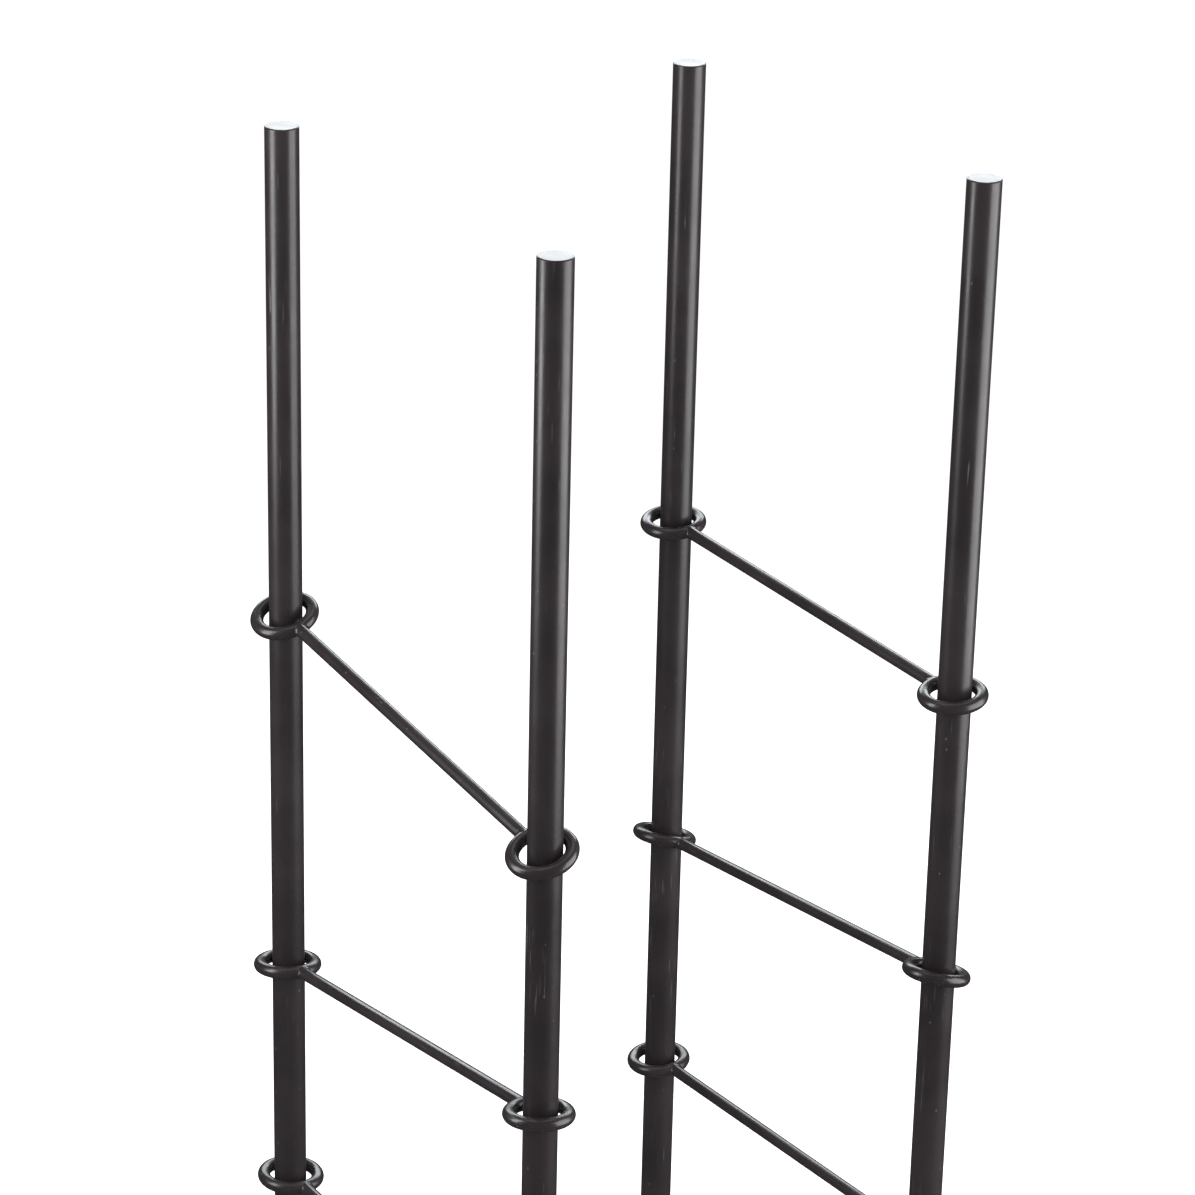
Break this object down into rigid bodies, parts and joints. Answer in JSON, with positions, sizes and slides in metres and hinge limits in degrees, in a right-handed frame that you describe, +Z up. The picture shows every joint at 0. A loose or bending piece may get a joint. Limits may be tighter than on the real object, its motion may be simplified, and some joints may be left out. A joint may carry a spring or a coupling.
{
  "type": "firewood log rack",
  "caption": "Open rack of tall round posts on a low square base, with loose ties whose welded rings slide over the posts to hold stacked firewood.",
  "frame": {"origin": "on the floor, in the middle of the footprint", "axes": "+Z up; X along the stacked logs, +X to the right of the rack; front of the rack faces -Y"},
  "size_m": [0.3085, 0.3084, 1.016],
  "materials": {
    "post_coat": "satin graphite powder coat",
    "tie_coat": "satin graphite powder coat on welded rod",
    "base_coat": "satin graphite powder coat on flat bar",
    "zinc_fastener": "zinc plated",
    "rubber_foot": "moulded matt rubber"
  },
  "bodies": {
    "rack": {"post_front_left": "post_coat", "bolt_front_left": "zinc_fastener", "washer_front_left": "zinc_fastener", "foot_front_left": "rubber_foot", "post_front_right": "post_coat", "bolt_front_right": "zinc_fastener", "washer_front_right": "zinc_fastener", "foot_front_right": "rubber_foot", "post_back_left": "post_coat", "bolt_back_left": "zinc_fastener", "washer_back_left": "zinc_fastener", "foot_back_left": "rubber_foot", "post_back_right": "post_coat", "bolt_back_right": "zinc_fastener", "washer_back_right": "zinc_fastener", "foot_back_right": "rubber_foot", "side_rail_left": "base_coat", "side_rail_right": "base_coat", "cross_rail_front": "base_coat", "cross_rail_back": "base_coat"},
    "tie_upper_left": {"tie_upper_left": "tie_coat"},
    "tie_upper_right": {"tie_upper_right": "tie_coat"},
    "tie_middle_left": {"tie_middle_left": "tie_coat"},
    "tie_middle_right": {"tie_middle_right": "tie_coat"},
    "tie_lower_left": {"tie_lower_left": "tie_coat"},
    "tie_lower_right": {"tie_lower_right": "tie_coat"}
  },
  "joints": [
    {"name": "tie_upper_left_slide", "type": "slide", "parent": "rack", "child": "tie_upper_left", "axis": [0, 0, 1], "range_m": [-0.067, 0.27]},
    {"name": "tie_upper_right_slide", "type": "slide", "parent": "rack", "child": "tie_upper_right", "axis": [0, 0, 1], "range_m": [-0.076, 0.272]},
    {"name": "tie_middle_left_slide", "type": "slide", "parent": "rack", "child": "tie_middle_left", "axis": [0, 0, 1], "range_m": [-0.063, 0.067]},
    {"name": "tie_middle_right_slide", "type": "slide", "parent": "rack", "child": "tie_middle_right", "axis": [0, 0, 1], "range_m": [-0.065, 0.076]},
    {"name": "tie_lower_left_slide", "type": "slide", "parent": "rack", "child": "tie_lower_left", "axis": [0, 0, 1], "range_m": [-0.332, 0.063]},
    {"name": "tie_lower_right_slide", "type": "slide", "parent": "rack", "child": "tie_lower_right", "axis": [0, 0, 1], "range_m": [-0.341, 0.065]}
  ]
}
